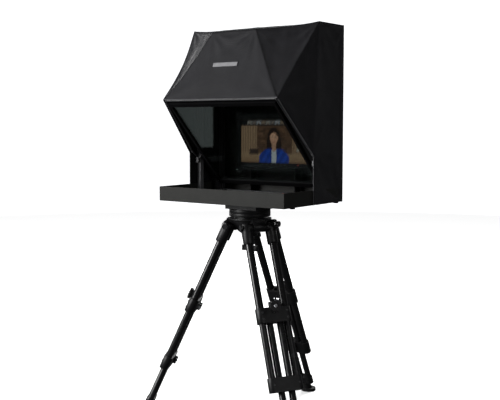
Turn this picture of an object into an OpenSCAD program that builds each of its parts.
// Studio teleprompter on a 100 mm bowl tripod. Millimetres, +Z up, floor at z = 0,
// reading side facing -Y. Legs: 1 rear, 2 front left, 3 front right.

/* [Prompter head] */
// Width of the base tray
tray_w = 477; // [470:1:485]
// Depth of the base tray, front to back
tray_d = 315; // [310:1:325]
// Height of the tray's folded rim
tray_h = 45; // [43:1:46]
// Height of the hood's top above the tray's bottom
hood_h = 541; // [530:1:560]
// Height of the hood's front lip above the tray's bottom
lip_h = 314; // [312:1:318]
// Width of the hood's front lip
lip_w = 428; // [424:1:440]
// Width of the hood's stiff front board at its upper edge
board_w = 162; // [120:1:260]
// Width of the glass frame
glass_frame_w = 406; // [396:1:408]
// Width of the visible picture on the monitor
picture_w = 264; // [240:1:268]

/* [Tripod] */
// Angle of each leg from vertical when spread
leg_spread = 24.3; // [22:0.1:25]
// Length of a leg from its pivot to the floor
leg_len = 675; // [665:1:700]
// Distance between the two tubes of a leg
tube_pitch = 80; // [78:1:82]
// Radius of the levelling half ball
ball_r = 50; // [49.5:0.1:50]

/* [Hidden] */
$fn = 48;
leg_parts = ["shoulder", "upper_tubes", "upper_clamp", "upper_knob", "middle_tubes",
             "lower_clamp", "lower_knob", "lower_tubes", "foot"];

// Leg pivots sit outside the tube plane by tube_off.
pivot_r = 71;
tube_off = 5.6;
pivot_z = leg_len * cos(leg_spread) + tube_off * sin(leg_spread);
foot_r = pivot_r - tube_off * cos(leg_spread) + leg_len * sin(leg_spread);
axis_y = -foot_r / 4;   // the feet's outline is centred on the origin
bolt_r = 5;
run_gap = 0.05;      // radial clearance of a running fit
slide_gap = 0.1;     // radial clearance of a telescoping tube
side_gap = 0.4;      // end clearance beside a moving part

// Crown, bowl and levelling ball, measured from the ball's centre.
tray_z = pivot_z + 75;
ball_z = tray_z - 52;
bowl_in_r = ball_r + 0.4;
bowl_out_r = 55.5;
ring_r = 68;
ring_t = 5;
ear_r = 15;
ear_w = 43;
pan_r = 65;
pan_floor = 6.5;     // underside of the half ball's flange
pan_split = 16;      // joint between the fixed flange and the turning table
pan_top = 28;
rod_r = 6;
knob_top = -61.6;
lock_turn = 150;     // direction of the pan lock, away from the legs

// Leg tubes and clamps, measured down the leg from the pivot.
upper_r = 12;
middle_r = 10.8;
lower_r = 10;
inner_pitch = 33;
clamp1_top = 252;
clamp1_h = 46;
clamp2_top = 458;
clamp2_h = 42;
socket_r = 17;
yoke_top = leg_len - 62;
yoke_h = 24;

// Prompter, measured from the tray's bottom centre.
sheet = 3;
front_y = -tray_d / 2;
back_y = tray_d / 2;
hinge_y = front_y + 260;
hinge_z = 53;
glass_tilt = 45;
glass_len = 356;     // hinge axis to the frame's upper end
rail_w = 9;
glass_in = 5;        // the glass stops this far inside the frame
rail_t = 12;
cloth = 2.2;
cloth_x = tray_w / 2 + 0.3;
hood_back_y = back_y + 0.3;
box_front_y = front_y + 177;
board_y = front_y + 80;
board_z = hood_h - 21;
knee = [box_front_y - 27, 147];
lip_y = front_y - 3;
post_x = 221;
post = [14, 17];
post_top = 531;
gap = 0.1;
mon = [300, 190, 20.5];
mon_y = front_y + 133;
mon_z = 7;
platform_z = 95;
sleeve_z = 185;
sleeve_r = 72;

module at_head() { translate([0, axis_y, tray_z]) children(); }
module at_ball() { translate([0, axis_y, ball_z]) children(); }
module on_leg(n) {
    translate([0, axis_y, 0]) rotate([0, 0, 120 * (n - 1)]) translate([0, pivot_r, pivot_z])
        rotate([leg_spread, 0, 0]) children();
}
// A rod along X from x0 to x1.
module rod_x(x0, x1, r) { translate([x0, 0, 0]) rotate([0, 90, 0]) cylinder(r = r, h = x1 - x0); }
// A rod along Y from y0 to y1.
module rod_y(y0, y1, r) { translate([0, y0, 0]) rotate([-90, 0, 0]) cylinder(r = r, h = y1 - y0); }
// A round knob with finger scallops, its axis on Z.
module scalloped(r, h, lobes) {
    difference() {
        cylinder(r = r, h = h);
        for (i = [0:lobes - 1]) rotate([0, 0, 360 / lobes * i]) translate([r + 2, 0, -1])
            cylinder(r = 4, h = h + 2);
    }
}
// A pair of upright tubes spaced along X.
module tube_pair(pitch, r, wall, z0, z1) {
    for (s = [-1, 1]) translate([s * pitch / 2, 0, z0]) difference() {
        cylinder(r = r, h = z1 - z0);
        translate([0, 0, -1]) cylinder(r = r - wall, h = z1 - z0 + 2);
    }
}
// A flat panel: corner points and the offset that gives its thickness.
module panel(pts, off) {
    k = len(pts);
    polyhedron(
        points = concat(pts, [for (p = pts) p + off]),
        faces = concat([[for (i = [0:k - 1]) i], [for (i = [k - 1:-1:0]) i + k]],
                       [for (i = [0:k - 1]) [i, i + k, (i + 1) % k + k, (i + 1) % k]]));
}
// A straight round bar between two points.
module bar(a, b, r) {
    d = b - a;
    translate(a) rotate([0, acos(d[2] / norm(d)), atan2(d[1], d[0])]) cylinder(r = r, h = norm(d));
}

// The same bar, cut back by c0 and c1 at its ends.
module short_bar(a, b, r, c0, c1) {
    u = (b - a) / norm(b - a);
    bar(a + u * c0, b - u * c1, r);
}

// ---- crown and head ----
module tripod_crown() {
    dz = pivot_z - ball_z;
    color("black") at_ball() difference() {
        union() {
            intersection() {
                sphere(r = bowl_out_r);
                translate([0, 0, -80]) cylinder(r = 80, h = 80);
            }
            translate([0, 0, -ring_t]) cylinder(r = ring_r, h = ring_t);
            for (n = [0:2]) rotate([0, 0, 120 * n]) {
                translate([0, pivot_r, dz]) rod_x(-ear_w / 2, ear_w / 2, ear_r);
                translate([-ear_w / 2, 40, dz - ear_r]) cube([ear_w, pivot_r - 40, ear_r - dz - 1]);
            }
        }
        sphere(r = bowl_in_r);
        translate([0, 0, -80]) cylinder(r = 16, h = 60);
        for (n = [0:2]) rotate([0, 0, 120 * n]) translate([0, pivot_r, dz]) rod_x(-30, 30, bolt_r);
    }
}
module leg_pivot_bolts() {
    reach = tube_pitch / 2 + socket_r;
    color("dimgray") for (n = [1:3]) on_leg(n) {
        rod_x(-reach - 3, reach + 3, bolt_r);
        rod_x(reach + side_gap, reach + 6, 9);
        translate([-reach - 6, 0, 0]) rotate([0, 90, 0]) cylinder(r = 9, h = 6 - side_gap, $fn = 6);
    }
}
module ball_pressure_plate() {
    color("black") at_ball() difference() {
        intersection() {
            sphere(r = 61);
            translate([0, 0, -80]) cylinder(r = 24, h = 60);
        }
        sphere(r = bowl_out_r + side_gap);
        for (x = [-5.8, 5.8]) translate([x, 0, -80]) cylinder(r = rod_r + side_gap, h = 60);
        translate([-5.8, -rod_r - side_gap, -80]) cube([11.6, 2 * (rod_r + side_gap), 60]);
    }
}
module half_ball() {
    color("black") at_ball() difference() {
        union() {
            intersection() {
                sphere(r = ball_r);
                translate([0, 0, -38]) cylinder(r = 60, h = 38 + pan_floor);
            }
            translate([0, 0, pan_floor]) cylinder(r = pan_r, h = pan_split - pan_floor);
        }
        translate([0, 0, -20]) cylinder(r = 10, h = 60);
        translate([0, 0, -40]) cylinder(r = rod_r, h = 10);
        rotate([0, 0, lock_turn]) translate([0, 0, 11.2]) rod_x(48, 80, 3 + run_gap);
    }
}
module tie_rod() {
    color("silver") at_ball() translate([0, 0, -100]) cylinder(r = rod_r, h = 70);
}
module tie_down_knob() {
    color("black") at_ball() difference() {
        union() {
            translate([0, 0, knob_top - 4]) cylinder(r = 15, h = 4);
            translate([0, 0, -105]) cylinder(r = 12, h = 45 - 2);
            translate([-24, -5.5, -105]) cube([48, 11, 17]);
            for (x = [-24, 24]) translate([x, 0, -105]) cylinder(r = 6.5, h = 17);
        }
        translate([0, 0, -100.5]) cylinder(r = rod_r + run_gap, h = 60);
    }
}
module pan_table() {
    color("black") at_ball() {
        translate([0, 0, pan_split + 0.3]) cylinder(r = pan_r, h = pan_top - pan_split - 0.3);
        translate([0, 0, -18]) cylinder(r = 10 - run_gap, h = pan_split + 19);
    }
}
module pan_lock_knob() {
    color("black") at_ball() rotate([0, 0, lock_turn]) translate([0, 0, 11.2]) {
        rod_x(50, 71, 3);
        translate([70, 0, 0]) rotate([0, 90, 0]) scalloped(11, 17, 6);
    }
}
module quick_release_dock() {
    color("black") at_head() {
        difference() {
            translate([-60, -50, -24]) cube([120, 100, 22]);
            translate([0, 60, 0]) rotate([90, 0, 0]) linear_extrude(120)
                polygon([[-28.2, -12.2], [28.2, -12.2], [24.2, -1.9], [24.2, 1], [-24.2, 1], [-24.2, -1.9]]);
        }
        for (z = [-24, -6.5]) translate([-75, 25, z]) cube([15.5, 14, 4.5]);
        translate([-68, 32, -24]) cylinder(r = 2.5, h = 22);
    }
}
module dock_lever() {
    color("dimgray") at_head() difference() {
        union() {
            translate([-68, 32, -19.1]) cylinder(r = 6.5, h = 12.2);
            translate([-71, -20, -17]) cube([6, 50, 8]);
            translate([-68, -20, -17]) cylinder(r = 5, h = 8);
        }
        translate([-68, 32, -30]) cylinder(r = 2.5 + run_gap, h = 40);
    }
}
module wedge_plate() {
    color("dimgray") at_head() translate([0, 60, 0]) rotate([90, 0, 0]) linear_extrude(120)
        polygon([[-28, -12], [28, -12], [24, -2], [24, 0], [-24, 0], [-24, -2]]);
}

// ---- tray and monitor ----
module base_tray() {
    color([0.2, 0.2, 0.19]) at_head() difference() {
        translate([-tray_w / 2, front_y, 0]) cube([tray_w, tray_d, tray_h]);
        translate([-tray_w / 2 + sheet, front_y + sheet, sheet])
            cube([tray_w - 2 * sheet, tray_d - 2 * sheet, tray_h]);
    }
}
module tray_feet() {
    color("black") at_head() for (x = [-1, 1]) {
        translate([x * 225, back_y - 11, -5]) cylinder(r = 8, h = 5);
        translate([x * 225, front_y + 62, -5]) cylinder(r = 8, h = 5);
    }
}
module at_monitor() { at_head() translate([0, mon_y, mon_z]) children(); }
module monitor_shell() {
    color("black") at_monitor() difference() {
        translate([-mon[0] / 2, -mon[1] / 2, 0]) cube([mon[0], mon[1], 18]);
        translate([-mon[0] / 2 + 2.5, -mon[1] / 2 + 2.5, 2.5]) cube([mon[0] - 5, mon[1] - 5, 20]);
    }
}
module monitor_bezel() {
    picture_h = picture_w * 9 / 16;
    color("black") at_monitor() difference() {
        translate([-mon[0] / 2, -mon[1] / 2, 18]) cube([mon[0], mon[1], 2.5]);
        translate([-picture_w / 2, -picture_h / 2, 10]) cube([picture_w, picture_h, 20]);
        translate([144, -88, 10]) cylinder(r = 3 + slide_gap, h = 20);
    }
}
module lcd_panel() {
    h = picture_w * 9 / 16 + 8;
    color("midnightblue") at_monitor()
        translate([-picture_w / 2 - 4, -h / 2, 15]) cube([picture_w + 8, h, 3]);
}
module monitor_board() {
    color("darkgreen") at_monitor() translate([-110, -60, 7]) cube([220, 120, 1.6]);
}
module monitor_stops() {
    leg = 26;
    color("black") at_head() for (sx = [0, 1], sy = [0, 1])
        translate([0, mon_y, 0]) mirror([sx, 0, 0]) mirror([0, sy, 0])
            translate([mon[0] / 2 - leg + 5, mon[1] / 2 - leg + 5, sheet]) difference() {
                cube([leg, leg, 25]);
                translate([-1, -1, mon_z - sheet]) cube([leg - 3.7, leg - 3.7, 30]);
            }
}
module power_button() {
    color("dimgray") at_monitor() translate([144, -88, 16]) cylinder(r = 3, h = 5.5);
}

// ---- hood frame, glass ----
module hood_frame() {
    ys = [box_front_y + 3.5, back_y - sheet - 0.3 - post[1]];
    color("silver") at_head() {
        for (s = [0, 1], y = ys) mirror([s, 0, 0])
            translate([post_x, y, sheet]) cube([post[0], post[1], post_top - sheet]);
        for (s = [0, 1]) mirror([s, 0, 0]) translate([post_x, ys[0] + post[1] + gap, post_top - 14])
            cube([post[0], ys[1] - ys[0] - post[1] - 2 * gap, 14]);
        for (y = ys) translate([-post_x + gap, y, post_top - 14]) cube([2 * post_x - 2 * gap, post[1], 14]);
    }
}
module hood_bow() {
    r = 3;
    end = 4.2;       // the rods stop short of the corner balls' centres
    lip = lip_w / 2 - 5;
    foot_y = box_front_y + 3.4;
    color("dimgray") at_head() {
        short_bar([-lip, lip_y + 5, lip_h - 2], [lip, lip_y + 5, lip_h - 2], r, end, end);
        for (s = [-1, 1]) {
            corner = [s * lip, lip_y + 5, lip_h - 2];
            bend = [s * 233, knee[0] + 5, knee[1] + 3];
            short_bar(bend, corner, r, end, end);
            short_bar([s * 230, foot_y - 6, knee[1] - 12], bend, r, 0, end);
            for (p = [corner, bend]) translate(p) sphere(r = r + 1);
            translate([s * 228 - 6, foot_y - 10, knee[1] - 32]) cube([12, 9.9, 16]);
        }
    }
}
module glass_hinge_ears() {
    color("dimgray") at_head() for (s = [0, 1]) mirror([s, 0, 0]) difference() {
        union() {
            translate([208, hinge_y - 11, sheet]) cube([8, 22, hinge_z - sheet]);
            translate([0, hinge_y, hinge_z]) rod_x(208, 216, 11);
        }
        translate([0, hinge_y, hinge_z]) rod_x(200, 230, 4 + run_gap);
    }
}
module hinge_pins() {
    color("silver") at_head() for (s = [0, 1]) mirror([s, 0, 0])
        translate([0, hinge_y, hinge_z]) rod_x(196, 229, 4);
}
module on_glass() {
    at_head() translate([0, hinge_y, hinge_z]) rotate([180 - glass_tilt, 0, 0]) children();
}
module glass_frame() {
    w = glass_frame_w;
    color("black") on_glass() difference() {
        translate([-w / 2, -8, -rail_t / 2]) cube([w, glass_len + 8, rail_t]);
        translate([-w / 2 + rail_w, 9, -20]) cube([w - 2 * rail_w, glass_len - 21, 40]);
        translate([-w / 2 + glass_in, 5, -rail_t]) cube([w - 2 * glass_in, glass_len - 13, rail_t + 1.5]);
        rod_x(-w / 2 - 1, -196, 4);
        rod_x(196, w / 2 + 1, 4);
    }
}
module beam_splitter() {
    w = glass_frame_w;
    color([0.5, 0.6, 0.55, 0.4]) on_glass()
        translate([-w / 2 + glass_in, 5, -1.5]) cube([w - 2 * glass_in, glass_len - 13, 3]);
}
module glass_lock_knob() {
    color("black") at_head() translate([216.5, hinge_y, hinge_z]) difference() {
        rotate([0, 90, 0]) scalloped(12, 14, 6);
        rod_x(-2, 20, 4 + run_gap);
    }
}
module glass_lock_knob_left() { mirror([1, 0, 0]) glass_lock_knob(); }
module glass_lock_knob_right() { glass_lock_knob(); }
module camera_platform() {
    y0 = hinge_y - 27;
    color("dimgray") at_head() {
        difference() {
            translate([-90, y0, platform_z]) cube([180, back_y - 4 - y0, 4]);
            translate([0, 115, platform_z - 1]) cylinder(r = 3.3, h = 6);
        }
        for (s = [0, 1]) mirror([s, 0, 0]) translate([86, 120, sheet]) cube([4, 32, platform_z - sheet - gap]);
    }
}

// ---- hood cloth ----
module hood_side() {
    x0 = cloth_x;
    lip_x = lip_w / 2;
    top = hood_h;
    color([0.13, 0.13, 0.15]) at_head() {
        panel([[x0, knee[0], 0], [x0, hood_back_y, 0], [x0, hood_back_y, top], [x0, box_front_y, top],
               [x0, knee[0], knee[1]]], [cloth, 0, 0]);
        panel([[x0, knee[0] - 0.15, knee[1]], [x0, box_front_y - 0.2, top - 0.3], [lip_x, lip_y, lip_h]],
              [cloth, 0, 0]);
    }
}
module hood_left_panel() { mirror([1, 0, 0]) hood_side(); }
module hood_right_panel() { hood_side(); }
module hood_top_panel() {
    x1 = cloth_x - gap;
    color([0.13, 0.13, 0.15]) at_head() {
        translate([-x1, box_front_y, hood_h - cloth]) cube([2 * x1, hood_back_y - box_front_y, cloth]);
        panel([[-board_w / 2, board_y + 2.4, board_z], [-x1 + 0.6, box_front_y - 0.15, hood_h],
               [x1 - 0.6, box_front_y - 0.15, hood_h], [board_w / 2, board_y + 2.4, board_z]],
              [0, 0, -cloth]);
    }
}
module hood_front_board() {
    lip_x = lip_w / 2 - 0.4;
    color([0.2, 0.2, 0.22]) at_head() {
        panel([[-lip_x, lip_y, lip_h + 2], [-board_w / 2, board_y, board_z],
               [board_w / 2, board_y, board_z], [lip_x, lip_y, lip_h + 2]], [0, 2, -1]);
        for (s = [0, 1]) mirror([s, 0, 0])
            panel([[lip_x + 0.4, lip_y, lip_h + 2], [board_w / 2 + 1.7, board_y - 0.8, board_z - 2.05],
                   [cloth_x - 0.5, box_front_y - 0.8, hood_h - 2.4]], [0, 2, -1]);
    }
}
module hood_rear_panel() {
    z0 = 14;
    w = cloth_x - gap;
    color([0.13, 0.13, 0.15]) at_head() {
        translate([-w, hood_back_y, z0]) cube([2 * w, cloth, hood_h - z0]);
        translate([0, hood_back_y + cloth + gap, sleeve_z]) rotate([-90, 0, 0])
            cylinder(r1 = sleeve_r, r2 = 18, h = 48);
    }
}

// ---- legs ----
module in_tubes() { translate([0, -tube_off, 0]) children(); }
module leg_shoulder(n) {
    color("black") on_leg(n) difference() {
        union() {
            in_tubes() for (s = [-1, 1]) translate([s * tube_pitch / 2, 0, -52]) cylinder(r = socket_r, h = 62);
            rod_x(-tube_pitch / 2, -ear_w / 2 - side_gap, 13);
            rod_x(ear_w / 2 + side_gap, tube_pitch / 2, 13);
        }
        in_tubes() for (s = [-1, 1]) translate([s * tube_pitch / 2, 0, -53]) cylinder(r = upper_r, h = 39);
        rod_x(-80, 80, bolt_r + run_gap);
    }
}
module leg_upper_tubes(n) {
    color("black") on_leg(n) in_tubes()
        tube_pair(tube_pitch, upper_r, upper_r - middle_r - slide_gap, -clamp1_top - clamp1_h, -14);
}
module clamp_block(top, h, r) {
    translate([-tube_pitch / 2, -r, -top - h]) cube([tube_pitch, 2 * r, h]);
    for (s = [-1, 1]) translate([s * tube_pitch / 2, 0, -top - h]) cylinder(r = r, h = h);
}
module leg_upper_clamp(n) {
    r = lower_r + side_gap;
    color("black") on_leg(n) in_tubes() difference() {
        union() {
            clamp_block(clamp1_top, clamp1_h, 16);
            translate([-16, 6, -clamp1_top - 2]) cube([32, 10, 18]);
            for (x = [-13, 9]) translate([x, -26, -clamp1_top - 36]) cube([4, 12, 20]);
        }
        for (s = [-1, 1]) translate([s * tube_pitch / 2, 0, -320]) cylinder(r = upper_r, h = 100);
        for (s = [-1, 1]) translate([s * inner_pitch / 2, 0, -320]) cylinder(r = r, h = 100);
        translate([-inner_pitch / 2, -r, -320]) cube([inner_pitch, 2 * r, 84 + 32]);
        translate([0, 0, -clamp1_top]) rod_y(10, 20, 4 + run_gap);
    }
}
module leg_upper_knob(n) {
    color("black") on_leg(n) in_tubes() translate([0, 0, -clamp1_top]) {
        rod_y(11, 19, 4);
        translate([0, 18, 0]) rotate([-90, 0, 0]) scalloped(18, 10, 8);
    }
}
module leg_middle_tubes(n) {
    color("black") on_leg(n) in_tubes()
        tube_pair(tube_pitch, middle_r, 1.5, -clamp2_top - clamp2_h, -clamp1_top + 70);
}
module leg_lower_clamp(n) {
    color("black") on_leg(n) in_tubes() difference() {
        clamp_block(clamp2_top, clamp2_h, 14.5);
        for (s = [-1, 1]) translate([s * tube_pitch / 2, 0, -520]) cylinder(r = middle_r, h = 100);
        for (s = [-1, 1]) translate([s * inner_pitch / 2, 0, -520]) cylinder(r = lower_r + slide_gap, h = 100);
        translate([0, 0, -clamp2_top - 14]) rod_y(-20, -5, 3 + run_gap);
    }
}
module leg_lower_knob(n) {
    color("black") on_leg(n) in_tubes() translate([0, 0, -clamp2_top - 14]) {
        rod_y(-17, -6, 3);
        translate([0, -16, 0]) rotate([90, 0, 0]) scalloped(13, 9, 6);
    }
}
module leg_lower_tubes(n) {
    color("black") on_leg(n) in_tubes() {
        tube_pair(inner_pitch, lower_r, 1.5, -yoke_top - yoke_h + 4, -clamp1_top - clamp1_h + 12);
        difference() {
            union() {
                translate([-inner_pitch / 2, -12, -yoke_top - yoke_h]) cube([inner_pitch, 24, yoke_h]);
                for (s = [-1, 1]) translate([s * inner_pitch / 2, 0, -yoke_top - yoke_h])
                    cylinder(r = 13, h = yoke_h);
            }
            for (s = [-1, 1]) translate([s * inner_pitch / 2, 0, -yoke_top - yoke_h + 4])
                cylinder(r = lower_r, h = yoke_h);
        }
    }
}
module leg_foot(n) {
    color("black") {
        difference() {
            on_leg(n) in_tubes() translate([0, 0, -leg_len - 20]) cylinder(r = 14, h = 20 + leg_len - yoke_top - yoke_h);
            translate([-600, -600, -100]) cube([1200, 1200, 104]);
        }
        translate([0, axis_y, 0]) rotate([0, 0, 120 * (n - 1)]) translate([0, foot_r, 0])
            cylinder(r = 25, h = 10);
    }
}

tripod_crown();
leg_pivot_bolts();
ball_pressure_plate();
half_ball();
tie_rod();
tie_down_knob();
pan_table();
pan_lock_knob();
quick_release_dock();
dock_lever();
wedge_plate();
base_tray();
tray_feet();
monitor_shell();
monitor_bezel();
lcd_panel();
monitor_board();
monitor_stops();
power_button();
hood_frame();
hood_bow();
glass_hinge_ears();
hinge_pins();
glass_frame();
beam_splitter();
glass_lock_knob_left();
glass_lock_knob_right();
camera_platform();
hood_left_panel();
hood_right_panel();
hood_top_panel();
hood_front_board();
hood_rear_panel();
for (n = [1:3]) {
    leg_shoulder(n);
    leg_upper_tubes(n);
    leg_upper_clamp(n);
    leg_upper_knob(n);
    leg_middle_tubes(n);
    leg_lower_clamp(n);
    leg_lower_knob(n);
    leg_lower_tubes(n);
    leg_foot(n);
}
